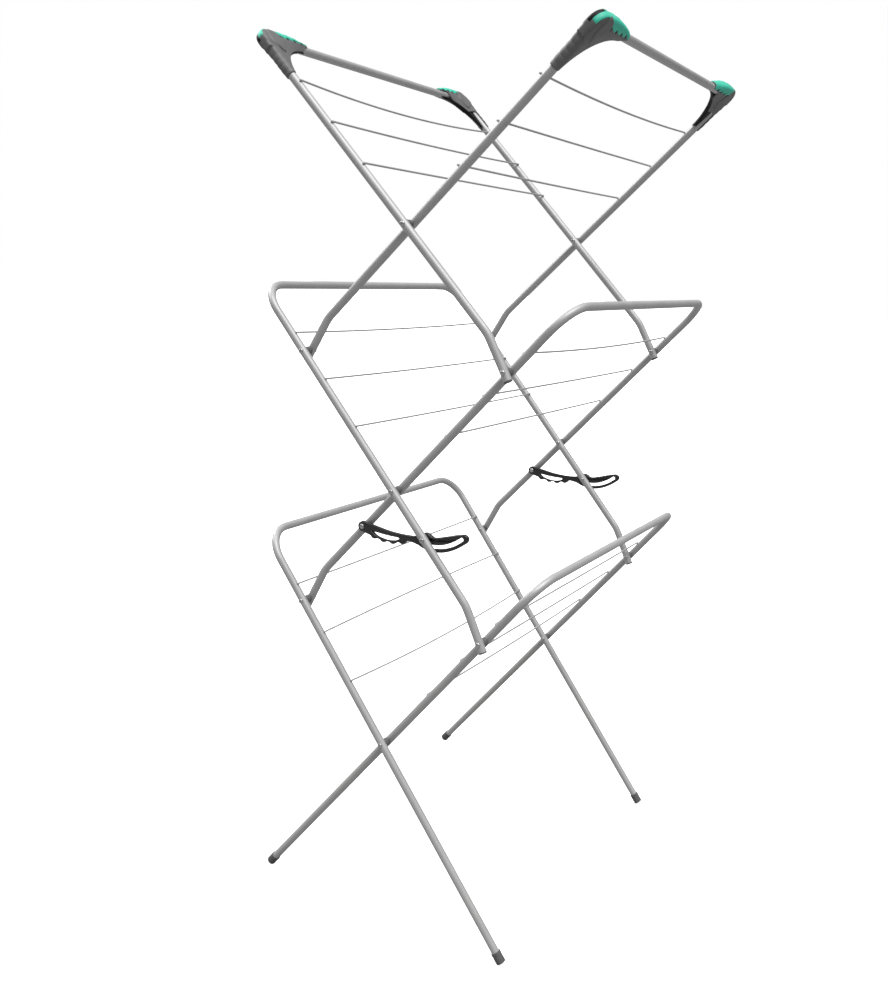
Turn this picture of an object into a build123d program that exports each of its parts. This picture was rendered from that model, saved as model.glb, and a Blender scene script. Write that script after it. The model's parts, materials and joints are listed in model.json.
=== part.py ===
from build123d import *
import math
import os

# A three-tier folding drying rack in millimetres and degrees, +Z up, front towards -Y.
# Six U-shaped tube frames cross in pairs, one pair to a tier. Each frame has two legs
# joined by a top rail. The frames that lean left are in the front layer of each side,
# and those that lean right in the back layer. Every side of both linkage diamonds is
# the same length, so the whole rack folds flat as one scissor.

# Driving dimensions
FRAME_WIDTH = 600.0       # between the two legs of a frame, centre to centre
LAYER_GAP = 21.0          # between the front and the back layer, centre to centre
TUBE_R = 6.35             # half-inch tube
TUBE_WALL = 1.0
WIRE_R = 1.5
LEG_LEAN = 38.25          # lean of a leg frame from the vertical
CRANK = 15.15             # bend of an upper frame's lower end, towards the vertical
KNEE_DROP = 200.0         # from a centre pivot down to that bend
CRANK_LENGTH = 58.5       # from the bend down to the lower pivot
CRANK_TAIL = 12.0         # tube below the lower pivot
RAIL_REACH = 382.5        # from a centre pivot up to the rail, leg and middle tiers
TOP_REACH = 361.5         # the same on the top tier
LEG_LENGTH = 371.0        # from the lowest pivot down to the tip of a foot
BEND_R = 50.0             # tube bend at a rail's corners, on the centre line
KNEE_R = 60.0             # tube bend at the crank
WIRE_STEPS = {            # wires, measured up from the centre pivot
    "leg": (109.5, 196.5, 284.0),
    "middle": (112.5, 199.5, 286.0),
    "top": (107.5, 188.0, 269.5),
}
WIRE_LIFT = 7.8           # wire axis above the tube axis, so that the two just bite
WIRE_OVERHANG = 5.0       # wire end beyond the near tube's axis
WIRE_SAG = {              # sag of each wire at mid span; one is bowed up
    "leg_left": (8.5, -2.5, 0.5),
    "leg_right": (3.0, 1.0, 1.0),
    "middle_left": (1.0, 1.5, 3.0),
    "middle_right": (0.5, 1.0, 5.0),
    "top_left": (0.5, 3.0, 11.0),
    "top_right": (1.0, 0.5, 6.0),
}

# Feet and tube plugs
FOOT_R = 7.6
FOOT_LENGTH = 18.0
FOOT_FLOOR = 3.0          # plastic under the tube's end
FOOT_ROUND = 2.5
FOOT_TIP_Z = 3.0          # height of a foot's tip, so that a small flat meets the floor
PLUG_LIP = 2.5
PLUG_ROUND = 2.0
PLUG_DEPTH = 7.0

# Rivets and spacers
RIVET_R = 2.5
RUNNING = 0.05            # radial clearance of a working pivot
OPEN_FIT = 0.3            # radial clearance of the two pivots that close the linkage
SIDE_GAP = 0.3            # between parts that turn against each other
HEAD_R = 3.9
HEAD_RISE = 2.0
HEAD_SKIRT = 1.6          # how far the head wraps down the tube
HEAD_ROUND = 1.3
SPACER_R = 6.5
SPACER_START = 2.0        # spacer's saddle, behind the front tube's axis

# Locks: a slotted stay on each side, hinged on the right-leaning middle frame
STAY_ARM = 86.0           # from the middle pivot down to the stay's eye, and to its pin
STAY_THICK = 7.3
STAY_LIFT = 0.040         # turn of the pin in the stay, per degree of fold
FOLD_TRAVEL = 85.0
EYE_R = 8.0
CATCH_R = 2.6             # the catch pin in its tube
CATCH_TIP_R = 1.8         # the same pin in the stay's groove
GROOVE_HALF = 2.2
GROOVE_DEPTH = 4.6
SLOT_HALF = 2.9
LOBE_R = 7.5
LOBE_STEPS = (22.0, 38.5, 55.0, 71.5)   # finger lobes, along the stay
LOBE_DROP = 11.2          # lobe centres below the stay's axis, at the lowest
LOBE_ARCH = 4.6           # rise of the outermost lobes over the lowest
LOBE_MIDDLE = 46.0
LOBE_SPREAD = 30.0

# The stay's side view, from its eye at the origin, with its handle along +X
STAY_TOP = ((0, EYE_R), (24, 4.2), (43, 1.2), (61, -0.3), (79, -0.4), (92, 0.8), (99, 3.2),
            (106, 7.6), (113, 9.4), (119, 7.4), (125, 4.3), (132, 5.0), (146, 9.0), (160, 13.5),
            (175, 17.2))
STAY_TIP = (182.8, 11.6)
STAY_UNDER = ((180, 4.6), (168, -4.2), (158, -10.0), (148, -14.1), (138, -16.7), (125, -17.5),
              (110, -15.5), (97, -10.8), (84, -8.6))
STAY_BELLY = ((65, -13.8), (47, -15.8), (29, -14.6), (12, -10.8))
CRESCENT_TOP = ((16.5, -4.0), (41, -6.2), (66.5, -6.8))
CRESCENT_BELLY = (43, -13.8)
LONG_SLOT = ((119, -10.4), (146.5, -5.8), (172.4, 9.4))

# Corner covers of the two top frames
COVER_HALF = 9.0          # half thickness, across the frame
COVER_OUT = 9.5           # beyond the leg's axis
COVER_RISE = 16.5         # above the rail's axis
COVER_LEG = 74.5          # down the leg
COVER_RAIL = 97.0         # along the rail
COVER_COLLAR = 9.0        # above the rail's axis, where the cover ends
COVER_CREST = 58.0        # along the rail, where the cover starts to slope down
CORNER_ROUND = 19.0
CREST_ROUND = 60.0
HOLLOW_R = 82.0           # concave inner edge
HOLLOW_AT = 89.5
COVER_ROUND = 4.5
INSERT_HALF = 6.2         # half thickness of the clip inside the cover
INSERT_INSET = 0.8        # the clip's concave edge stands this far inside the cover's
INSERT_END = 71.0         # how far the clip runs along both tubes
GRIP_LOW = 1.5            # lower edge of the grip, above the rail's axis
GRIP_TEETH = 4
TOOTH_START = 32.0
TOOTH = 16.0              # length of one tooth
TOOTH_DEPTH = 3.5
STRIP_START = 14.0        # narrow part of the grip, round the corner
STRIP_LOW = 9.5
STRIP_HALF = 6.0

ALONG_Y = (0, 1, 0)
FROM_BASE = (Align.CENTER, Align.CENTER, Align.MIN)


def sin(degrees):
    return math.sin(math.radians(degrees))


def cos(degrees):
    return math.cos(math.radians(degrees))


# An upper frame's arm is the straight line from its lower to its centre pivot.
ARM = math.hypot(KNEE_DROP + CRANK_LENGTH * cos(CRANK), CRANK_LENGTH * sin(CRANK))
SKEW = math.degrees(math.atan2(CRANK_LENGTH * sin(CRANK), KNEE_DROP + CRANK_LENGTH * cos(CRANK)))
MIDDLE_LEAN = LEG_LEAN + SKEW
TOP_LEAN = MIDDLE_LEAN + SKEW
LEG_PIVOT_Z = FOOT_TIP_Z + LEG_LENGTH * cos(LEG_LEAN)
MIDDLE_PIVOT_Z = LEG_PIVOT_Z + 2 * ARM * cos(LEG_LEAN)
TOP_PIVOT_Z = MIDDLE_PIVOT_Z + 2 * ARM * cos(MIDDLE_LEAN)


class Frame:
    """One U-shaped frame, in the plane of its legs and rail."""

    def __init__(self, tier, hand, centre_z, lean, reach):
        self.tier = tier
        self.name = f"{tier}_{hand}"
        self.side = -1 if hand == "left" else 1
        self.lean = lean
        self.centre_z = centre_z
        self.reach = reach
        self.up = Vector(self.side * sin(lean), 0, cos(lean))
        self.face = Vector(-self.side * cos(lean), 0, sin(lean))
        self.near_y = self.side * LAYER_GAP / 2 - FRAME_WIDTH / 2
        self.far_y = self.side * LAYER_GAP / 2 + FRAME_WIDTH / 2

    def at(self, along, y, off=0.0):
        """The point this far along a leg from the centre pivot, and this far off its plane."""
        return Vector(0, y, self.centre_z) + self.up * along + self.face * off

    def below_knee(self, length, y):
        """The point this far below the bend of a cranked leg."""
        lean = self.lean - CRANK
        return self.at(-KNEE_DROP, y) - Vector(self.side * sin(lean), 0, cos(lean)) * length

    def lower_pivot(self):
        return self.below_knee(CRANK_LENGTH, 0)

    def leg_points(self, y):
        """A leg's corner points, from its lower end to the rail's corner."""
        corner = self.at(self.reach, y)
        if self.tier == "leg":
            return [self.at(FOOT_FLOOR - LEG_LENGTH, y), corner]
        return [self.below_knee(CRANK_LENGTH + CRANK_TAIL, y), self.at(-KNEE_DROP, y), corner]


LEG_LEFT = Frame("leg", "left", LEG_PIVOT_Z, LEG_LEAN, RAIL_REACH)
LEG_RIGHT = Frame("leg", "right", LEG_PIVOT_Z, LEG_LEAN, RAIL_REACH)
MIDDLE_LEFT = Frame("middle", "left", MIDDLE_PIVOT_Z, MIDDLE_LEAN, RAIL_REACH)
MIDDLE_RIGHT = Frame("middle", "right", MIDDLE_PIVOT_Z, MIDDLE_LEAN, RAIL_REACH)
TOP_LEFT = Frame("top", "left", TOP_PIVOT_Z, TOP_LEAN, TOP_REACH)
TOP_RIGHT = Frame("top", "right", TOP_PIVOT_Z, TOP_LEAN, TOP_REACH)
FRAMES = [LEG_LEFT, LEG_RIGHT, MIDDLE_LEFT, MIDDLE_RIGHT, TOP_LEFT, TOP_RIGHT]

# Each pivot: the front frame, the back frame, its place, and its clearance in the back tube.
PIVOTS = [
    (LEG_LEFT, LEG_RIGHT, LEG_LEFT.at(0, 0), RUNNING),
    (LEG_LEFT, MIDDLE_RIGHT, MIDDLE_RIGHT.lower_pivot(), RUNNING),
    (MIDDLE_LEFT, LEG_RIGHT, MIDDLE_LEFT.lower_pivot(), OPEN_FIT),
    (MIDDLE_LEFT, MIDDLE_RIGHT, MIDDLE_LEFT.at(0, 0), RUNNING),
    (MIDDLE_LEFT, TOP_RIGHT, TOP_RIGHT.lower_pivot(), OPEN_FIT),
    (TOP_LEFT, MIDDLE_RIGHT, TOP_LEFT.lower_pivot(), RUNNING),
    (TOP_LEFT, TOP_RIGHT, TOP_LEFT.at(0, 0), RUNNING),
]
STAY_EYE = MIDDLE_RIGHT.at(-STAY_ARM, 0)
STAY_CATCH = MIDDLE_LEFT.at(-STAY_ARM, 0)


def rod(point, y_from, y_to, radius):
    """A round bar along Y through a point of the side view."""
    base = Plane(origin=(point.X, y_from, point.Z), z_dir=ALONG_Y)
    return base * Cylinder(radius, y_to - y_from, align=FROM_BASE)


def bent_bar(frame, radius):
    """A solid bar along the frame's tube, from foot to foot."""
    near = frame.leg_points(frame.near_y)
    far = frame.leg_points(frame.far_y)
    bends = [BEND_R] if frame.tier == "leg" else [KNEE_R, BEND_R]
    path = FilletPolyline(*near, *reversed(far), radius=bends + bends[::-1])
    return sweep(Plane(origin=path @ 0, z_dir=path % 0) * Circle(radius), path=path)


def frame_tube(frame, bar):
    """The bent tube of a frame, drilled across both legs for its rivets."""
    tube = bar - bent_bar(frame, TUBE_R - TUBE_WALL)
    drills = [(place, RIVET_R) for front, back, place, fit in PIVOTS if front is frame]
    drills += [(place, RIVET_R + fit) for front, back, place, fit in PIVOTS if back is frame]
    if frame is MIDDLE_RIGHT:
        drills.append((STAY_EYE, RIVET_R))
    if frame is MIDDLE_LEFT:
        drills.append((STAY_CATCH, CATCH_R))
    for place, radius in drills:
        for y in (frame.near_y, frame.far_y):
            tube -= rod(place, y - 2 * TUBE_R, y + 2 * TUBE_R, radius)
    return tube


def wire(frame, along, sag):
    """A drying wire, welded on the frame's upper face, with its sag at mid span."""
    start = frame.at(along, frame.near_y - WIRE_OVERHANG, WIRE_LIFT)
    end = frame.at(along, frame.far_y, WIRE_LIFT)
    middle = (start + end) * 0.5 - Vector(0, 0, sag)
    path = ThreePointArc(start, middle, end)
    return sweep(Plane(origin=path @ 0, z_dir=path % 0) * Circle(WIRE_R), path=path)


def foot(frame, y):
    """A cap over a leg's end, with a small level flat where it meets the floor."""
    cap = Cylinder(FOOT_R, FOOT_LENGTH, align=FROM_BASE)
    cap = fillet(cap.edges().group_by(Axis.Z)[0], FOOT_ROUND)
    cap -= Pos(0, 0, FOOT_FLOOR) * Cylinder(TUBE_R, FOOT_LENGTH, align=FROM_BASE)
    cap = Plane(origin=frame.at(-LEG_LENGTH, y), z_dir=frame.up) * cap
    below = Pos(frame.at(-LEG_LENGTH, y).X, y, -FOOT_LENGTH / 2)
    return cap - below * Box(4 * FOOT_R, 4 * FOOT_R, FOOT_LENGTH)


def plug(frame, y):
    """A plastic plug in the lower end of a cranked leg, with a rounded lip."""
    end = frame.below_knee(CRANK_LENGTH + CRANK_TAIL, y)
    inward = (frame.at(-KNEE_DROP, y) - end).normalized()
    lip = Pos(0, 0, -PLUG_LIP) * Cylinder(TUBE_R, PLUG_LIP, align=FROM_BASE)
    lip = fillet(lip.edges().group_by(Axis.Z)[0], PLUG_ROUND)
    stem = Cylinder(TUBE_R - TUBE_WALL, PLUG_DEPTH, align=FROM_BASE)
    return Plane(origin=end, z_dir=inward) * (lip + stem)


def rivet(front_bar, place, front_y, back_y):
    """A rivet through two tubes: a domed head in front and a flat tail behind."""
    head = Cylinder(HEAD_R, HEAD_RISE + HEAD_SKIRT, align=FROM_BASE)
    head = fillet(head.edges().group_by(Axis.Z)[0], HEAD_ROUND)
    head_y = front_y - TUBE_R - HEAD_RISE
    head = Plane(origin=(place.X, head_y, place.Z), z_dir=ALONG_Y) * head
    tail_y = back_y + TUBE_R + SIDE_GAP
    tail = rod(place, tail_y, back_y + TUBE_R + HEAD_RISE, HEAD_R)
    return (head - front_bar) + rod(place, head_y + HEAD_RISE / 2, tail_y, RIVET_R) + tail


def spacer(front_bar, place, front_y, back_y):
    """A plastic collar between two tubes, with a saddle that fits the front one."""
    collar = rod(place, front_y + SPACER_START, back_y - TUBE_R - SIDE_GAP, SPACER_R)
    return collar - front_bar - rod(place, front_y, back_y, RIVET_R)


def stay_groove():
    """The track of the catch pin in the stay over the whole fold, as two arcs."""
    points = []
    for step in range(5):
        fold = FOLD_TRAVEL * step / 4
        reach = 2 * STAY_ARM * sin(MIDDLE_LEAN + fold / 2)
        points.append((reach * cos(STAY_LIFT * fold), reach * sin(STAY_LIFT * fold)))
    track = SlotArc(ThreePointArc(*points[:3]), 2 * GROOVE_HALF)
    return track + SlotArc(ThreePointArc(*points[2:]), 2 * GROOVE_HALF)


def stay_outline():
    """The side view of a stay, with its eye at the origin and its handle along +X."""
    top = Spline(*STAY_TOP)
    tip = ThreePointArc(STAY_TOP[-1], STAY_TIP, STAY_UNDER[0])
    under = Spline(*STAY_UNDER)
    belly = Spline(STAY_UNDER[-1], *STAY_BELLY, (0, -EYE_R))
    back = ThreePointArc((0, -EYE_R), (-EYE_R, 0), (0, EYE_R))
    outline = make_face(Wire([top, tip, under, belly, back]))
    for x in LOBE_STEPS:
        drop = LOBE_DROP - LOBE_ARCH * ((x - LOBE_MIDDLE) / LOBE_SPREAD) ** 2
        outline += Pos(x, -drop) * Circle(LOBE_R)
    return outline


def stay(y):
    """A lock: an arm with a grip slot, a handle with a long slot, and a groove for the pin."""
    crescent_low = ThreePointArc(CRESCENT_TOP[-1], CRESCENT_BELLY, CRESCENT_TOP[0])
    crescent = make_face(Wire([Spline(*CRESCENT_TOP), crescent_low]))
    long_slot = SlotArc(ThreePointArc(*LONG_SLOT), 2 * SLOT_HALF)
    profile = stay_outline() - crescent - long_slot - Circle(RIVET_R + RUNNING)
    body = extrude(profile, STAY_THICK)
    groove = Pos(0, 0, STAY_THICK - GROOVE_DEPTH) * extrude(stay_groove(), GROOVE_DEPTH)
    front = Plane(origin=(STAY_EYE.X, y + STAY_THICK / 2, STAY_EYE.Z), x_dir=(1, 0, 0), z_dir=(0, -1, 0))
    return front * (body - groove)


def stay_rivet(y, tube_y):
    """The rivet that hinges a stay on its tube, with a head in front of the eye."""
    front_y = y - STAY_THICK / 2 - SIDE_GAP
    head = rod(STAY_EYE, front_y - HEAD_RISE, front_y, HEAD_R)
    head = fillet(head.edges().group_by(Axis.Y)[0], HEAD_ROUND)
    tail = rod(STAY_EYE, tube_y + TUBE_R, tube_y + TUBE_R + HEAD_RISE, HEAD_R)
    return head + rod(STAY_EYE, front_y - HEAD_RISE / 2, tube_y + TUBE_R, RIVET_R) + tail


def catch_pin(bar, y, tube_y):
    """The pin on the front tube that runs in the stay's groove."""
    head_y = tube_y - TUBE_R - HEAD_RISE
    head = rod(STAY_CATCH, head_y, head_y + HEAD_RISE + HEAD_SKIRT, HEAD_R)
    head = fillet(head.edges().group_by(Axis.Y)[0], HEAD_ROUND)
    end_y = y - STAY_THICK / 2 + GROOVE_DEPTH - SIDE_GAP
    shank = rod(STAY_CATCH, head_y + HEAD_RISE / 2, tube_y + TUBE_R, CATCH_R)
    return (head - bar) + shank + rod(STAY_CATCH, tube_y + TUBE_R, end_y, CATCH_TIP_R)


def cover_shapes():
    """A top corner's cover, clip and grip, as solids still filled where the tube runs.

    The rail's and leg's axes meet at the origin. The rail runs along +X and the leg
    along -Y, and the shapes are the same on both faces of the frame.
    """
    outline = make_face(Polyline(
        (-COVER_OUT, -COVER_LEG), (-COVER_OUT, COVER_RISE), (COVER_CREST, COVER_RISE),
        (COVER_RAIL, COVER_COLLAR), (COVER_RAIL, -COVER_LEG), close=True))
    upper_left = outline.vertices().filter_by(lambda v: v.X < 0 and v.Y > 0)
    outline = fillet(upper_left, CORNER_ROUND)
    outline = fillet(outline.vertices().filter_by(lambda v: v.X == COVER_CREST), CREST_ROUND)
    outline -= Pos(HOLLOW_AT, -HOLLOW_AT) * Circle(HOLLOW_R)
    block = extrude(outline, COVER_HALF, both=True)
    rims = block.faces().filter_by(Axis.Z).edges()
    block = fillet(rims, COVER_ROUND)

    crescent = make_face(Polyline((0, -INSERT_END), (0, 0), (INSERT_END, 0),
                                  (INSERT_END, -INSERT_END), close=True))
    crescent = fillet(crescent.vertices().filter_by(lambda v: v.X == 0 and v.Y == 0), BEND_R)
    crescent -= Pos(HOLLOW_AT, -HOLLOW_AT) * Circle(HOLLOW_R + INSERT_INSET)
    clip = extrude(crescent, INSERT_HALF, both=True)

    edge = [(TOOTH_START, COVER_RISE * 2)]
    for tooth in range(GRIP_TEETH):
        x = TOOTH_START + tooth * TOOTH
        edge += [(x, GRIP_LOW + TOOTH_DEPTH), (x + TOOTH, GRIP_LOW)]
    edge.append((TOOTH_START + GRIP_TEETH * TOOTH, COVER_RISE * 2))
    zone = extrude(make_face(Polyline(*edge, close=True)), 2 * COVER_HALF, both=True)
    strip = Pos((STRIP_START + TOOTH_START) / 2, STRIP_LOW + COVER_RISE, 0)
    zone += strip * Box(TOOTH_START - STRIP_START, 2 * COVER_RISE, 2 * STRIP_HALF)
    return block - clip - zone, clip, block & zone


def corner(frame, y, inward, bar, shape):
    """A cover piece placed on a frame's corner, cut to fit round the tube."""
    along = Vector(0, inward, 0)
    seat = Plane(origin=frame.at(frame.reach, y), x_dir=along, z_dir=along.cross(frame.up))
    return seat * shape - bar


parts = {}
bars = {frame.name: bent_bar(frame, TUBE_R) for frame in FRAMES}
cover, clip, grip = cover_shapes()

for frame in FRAMES:
    name = frame.name
    bar = bars[name]
    ends = (("near", frame.near_y, 1), ("far", frame.far_y, -1))
    parts[f"{name}_tube"] = frame_tube(frame, bar)
    for number, (along, sag) in enumerate(zip(WIRE_STEPS[frame.tier], WIRE_SAG[name]), 1):
        parts[f"{name}_wire_{number}"] = wire(frame, along, sag)
    for end, y, inward in ends:
        if frame.tier == "leg":
            parts[f"{name}_foot_{end}"] = foot(frame, y)
        else:
            parts[f"{name}_plug_{end}"] = plug(frame, y)
        if frame.tier == "top":
            parts[f"{name}_cover_{end}"] = corner(frame, y, inward, bar, cover)
            parts[f"{name}_clip_{end}"] = corner(frame, y, inward, bar, clip)
            parts[f"{name}_grip_{end}"] = corner(frame, y, inward, bar, grip)
    owned = [(back, place) for front, back, place, fit in PIVOTS if front is frame]
    if owned:
        sides = [(place, frame.near_y, back.near_y) for back, place in owned]
        sides += [(place, frame.far_y, back.far_y) for back, place in owned]
        parts[f"{name}_rivets"] = Compound([rivet(bar, *side).solid() for side in sides])
        parts[f"{name}_spacers"] = Compound([spacer(bar, *side).solid() for side in sides])

bar = bars["middle_left"]
stay_y = {end: y * FRAME_WIDTH / 2 for end, y in (("near", -1), ("far", 1))}
for end, y in stay_y.items():
    parts[f"lock_{end}"] = stay(y)
back_y = {"near": MIDDLE_RIGHT.near_y, "far": MIDDLE_RIGHT.far_y}
front_y = {"near": MIDDLE_LEFT.near_y, "far": MIDDLE_LEFT.far_y}
parts["lock_rivets"] = Compound([stay_rivet(stay_y[end], back_y[end]).solid() for end in stay_y])
parts["catch_pins"] = Compound([catch_pin(bar, stay_y[end], front_y[end]).solid() for end in stay_y])

os.makedirs("parts", exist_ok=True)
for name, shape in parts.items():
    export_step(shape, f"parts/{name}.step")
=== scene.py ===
import json
import math

import bmesh
import bpy
import numpy as np
from mathutils import Matrix, Vector


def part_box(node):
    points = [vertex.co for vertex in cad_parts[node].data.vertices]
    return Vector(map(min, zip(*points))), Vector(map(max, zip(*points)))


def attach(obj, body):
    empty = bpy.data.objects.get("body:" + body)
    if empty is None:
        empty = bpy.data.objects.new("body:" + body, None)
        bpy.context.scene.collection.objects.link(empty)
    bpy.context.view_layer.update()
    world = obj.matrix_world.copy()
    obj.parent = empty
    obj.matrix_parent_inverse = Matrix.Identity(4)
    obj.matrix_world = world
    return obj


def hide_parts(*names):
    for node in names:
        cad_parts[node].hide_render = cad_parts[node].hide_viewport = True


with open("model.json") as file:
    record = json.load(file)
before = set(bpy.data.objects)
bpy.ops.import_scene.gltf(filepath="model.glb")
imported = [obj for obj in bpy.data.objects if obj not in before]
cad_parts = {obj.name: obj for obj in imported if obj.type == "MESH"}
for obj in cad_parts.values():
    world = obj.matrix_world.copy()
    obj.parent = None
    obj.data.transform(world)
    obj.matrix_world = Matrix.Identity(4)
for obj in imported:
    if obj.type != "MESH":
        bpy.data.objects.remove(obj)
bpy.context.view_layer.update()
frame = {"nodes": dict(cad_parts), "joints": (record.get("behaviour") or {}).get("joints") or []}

# Driving dimensions of the rack, in millimetres and degrees
MM = 0.001
TUBE_R = 6.35
CRANK = 15.15
KNEE_DROP = 200.0
CRANK_LENGTH = 58.5
CRANK_TAIL = 12.0
LEG_LENGTH = 371.0
BEND_R = 50.0
WIRE_R = 1.5
WIRE_LIFT = 7.8
WIRE_OVERHANG = {
    "leg_left": 2.5, "leg_right": -2.5,
    "middle_left": 2.5, "middle_right": -2.5,
    "top_left": 5.0, "top_right": 5.0,
}
WIRE_STEPS = {
    "leg": (109.5, 196.5, 284.0),
    "middle": (112.5, 199.5, 286.0),
    "top": (107.5, 188.0, 269.5),
}
WIRE_SAG = {
    "leg_left": (8.5, -2.5, 0.5),
    "leg_right": (3.0, 1.0, 1.0),
    "middle_left": (1.0, 1.5, 3.0),
    "middle_right": (0.5, 1.0, 5.0),
    "top_left": (0.5, 3.0, 11.0),
    "top_right": (1.0, 0.5, 6.0),
}
FOOT_R = 7.6
FOOT_HEIGHT = 18.0
HEAD_R = 3.9
HEAD_RISE = 2.0
SIDE_GAP = 0.3
SPACER_R = 6.5
RIVET_R = 2.5
STAY_ARM = 86.0
STAY_THICK = 7.3


def sin(degrees):
    return math.sin(math.radians(degrees))


def cos(degrees):
    return math.cos(math.radians(degrees))


JOINTS = {joint["name"]: Vector(joint["pos_m"]) / MM for joint in frame["joints"]}
SKEW = math.degrees(math.atan2(CRANK_LENGTH * sin(CRANK), KNEE_DROP + CRANK_LENGTH * cos(CRANK)))


def lean_between(low, high):
    """The lean from the vertical of the line between two joints."""
    run = JOINTS[high] - JOINTS[low]
    return math.degrees(math.atan2(abs(run.x), run.z))


class Frame:
    """One U-shaped tube frame. Its points are in millimetres, in the row frame."""

    def __init__(self, tier, hand, pivot, lean):
        low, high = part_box(f"{tier}_{hand}_tube")
        self.tier = tier
        self.name = f"{tier}_{hand}"
        self.body = f"{tier}_frame_{hand}"
        self.side = -1 if hand == "left" else 1
        self.lean = lean
        self.centre = Vector((0, 0, JOINTS[pivot].z))
        self.up = Vector((self.side * sin(lean), 0, cos(lean)))
        self.face = Vector((-self.side * cos(lean), 0, sin(lean)))
        self.near_y = low.y / MM + TUBE_R
        self.far_y = high.y / MM - TUBE_R
        self.reach = (high.z / MM - TUBE_R - self.centre.z) / cos(lean)

    def at(self, along, y, off=0.0):
        return self.centre + self.up * along + self.face * off + Vector((0, y, 0))

    def tail(self):
        """The direction of the cranked end, downwards."""
        lean = self.lean - CRANK
        return Vector((-self.side * sin(lean), 0, -cos(lean)))


LEG_LEAN = lean_between("fold", "middle_right_pivot")
MIDDLE_LEAN = lean_between("middle_right_pivot", "middle_left_pivot") + SKEW
TOP_LEAN = lean_between("top_left_pivot", "top_right_pivot") + SKEW
FRAMES = [
    Frame("leg", "left", "fold", LEG_LEAN),
    Frame("leg", "right", "fold", LEG_LEAN),
    Frame("middle", "left", "middle_left_pivot", MIDDLE_LEAN),
    Frame("middle", "right", "middle_left_pivot", MIDDLE_LEAN),
    Frame("top", "left", "top_right_pivot", TOP_LEAN),
    Frame("top", "right", "top_right_pivot", TOP_LEAN),
]
BY_NAME = {item.name: item for item in FRAMES}


# ---------------------------------------------------------------- materials

PATCH_SCALE = 25.0        # soft patches of colour and gloss, per metre
COAT_ROUGHNESS = 0.25


def ramp(tree, source, stops):
    """A colour ramp fed by source. Stops are (place, grey or colour)."""
    node = tree.nodes.new("ShaderNodeValToRGB")
    tree.links.new(source, node.inputs["Fac"])
    marks = node.color_ramp.elements
    while len(marks) < len(stops):
        marks.new(1.0)
    for mark, (place, value) in zip(marks, stops):
        mark.position = place
        mark.color = (*value, 1.0) if isinstance(value, tuple) else (value, value, value, 1.0)
    return node.outputs["Color"]


def noise(tree, place, scale, detail=3.0, rough=0.55):
    node = tree.nodes.new("ShaderNodeTexNoise")
    node.inputs["Scale"].default_value = scale
    node.inputs["Detail"].default_value = detail
    node.inputs["Roughness"].default_value = rough
    tree.links.new(place, node.inputs["Vector"])
    return node.outputs["Fac"]


def finish_material(name, dark, light, rough, grain, height, metal=0.0, coat=0.0, shine=0.5,
                    stretch=None):
    """A painted, moulded or plated finish: patches of colour and gloss, with a fine grain."""
    material = bpy.data.materials.new(name)
    material.use_nodes = True
    tree = material.node_tree
    shader = tree.nodes["Principled BSDF"]
    place = tree.nodes.new("ShaderNodeTexCoord").outputs["Object"]
    if stretch:
        mapping = tree.nodes.new("ShaderNodeMapping")
        mapping.inputs["Scale"].default_value = stretch
        tree.links.new(place, mapping.inputs["Vector"])
        place = mapping.outputs["Vector"]
    patches = noise(tree, place, PATCH_SCALE)
    fine = noise(tree, place, grain, detail=2.0, rough=0.6)
    colour = ramp(tree, patches, [(0.3, dark), (0.7, light)])
    tree.links.new(colour, shader.inputs["Base Color"])
    gloss = ramp(tree, patches, [(0.25, rough[0]), (0.75, rough[1])])
    tree.links.new(gloss, shader.inputs["Roughness"])
    bump = tree.nodes.new("ShaderNodeBump")
    bump.inputs["Strength"].default_value = 1.0
    bump.inputs["Distance"].default_value = height * MM
    tree.links.new(fine, bump.inputs["Height"])
    tree.links.new(bump.outputs["Normal"], shader.inputs["Normal"])
    shader.inputs["Metallic"].default_value = metal
    shader.inputs["Specular IOR Level"].default_value = shine
    shader.inputs["Coat Weight"].default_value = coat
    shader.inputs["Coat Roughness"].default_value = COAT_ROUGHNESS
    return material


def grey(level):
    return (level, level, level)


MATERIALS = {
    "tube_steel": finish_material(
        "silver_powder_coat", (0.45, 0.445, 0.445), (0.49, 0.485, 0.485), (0.44, 0.50),
        1400.0, 0.0015, metal=0.28, shine=0.4),
    "wire_steel": finish_material(
        "silver_wire_coat", (0.42, 0.415, 0.415), (0.47, 0.465, 0.465), (0.44, 0.52),
        1600.0, 0.0015, metal=0.28, shine=0.4),
    "cover_plastic": finish_material(
        "charcoal_moulding", grey(0.120), grey(0.150), (0.46, 0.56), 1500.0, 0.03),
    # Near-black moulding for the clip, also used as painted shade: the cover's shaded hollow, the
    # shaded strip beside the grip and the shaded notches between its teeth.
    "clip_plastic": finish_material(
        "black_moulding_and_painted_shade", grey(0.006), grey(0.010), (0.50, 0.60), 1500.0, 0.012, shine=0.2),
    "foot_plastic": finish_material(
        "foot_moulding", grey(0.085), grey(0.115), (0.50, 0.62), 1300.0, 0.03),
    "plug_plastic": finish_material(
        "plug_moulding", grey(0.10), grey(0.13), (0.50, 0.62), 1300.0, 0.03),
    "spacer_plastic": finish_material(
        "spacer_moulding", grey(0.10), grey(0.13), (0.48, 0.60), 1300.0, 0.03),
    "grip_rubber": finish_material(
        "mint_grip", (0.042, 0.53, 0.37), (0.052, 0.61, 0.43), (0.48, 0.60), 1100.0, 0.03),
    "lock_plastic": finish_material(
        "black_gloss_moulding", grey(0.014), grey(0.022), (0.26, 0.36), 700.0, 0.015, coat=0.2),
    "rivet_steel": finish_material(
        "zinc_plate", grey(0.48), grey(0.60), (0.30, 0.42), 900.0, 0.01, metal=1.0,
        stretch=(1.0, 4.0, 1.0)),
}


# ------------------------------------------------------------------- meshes

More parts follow.
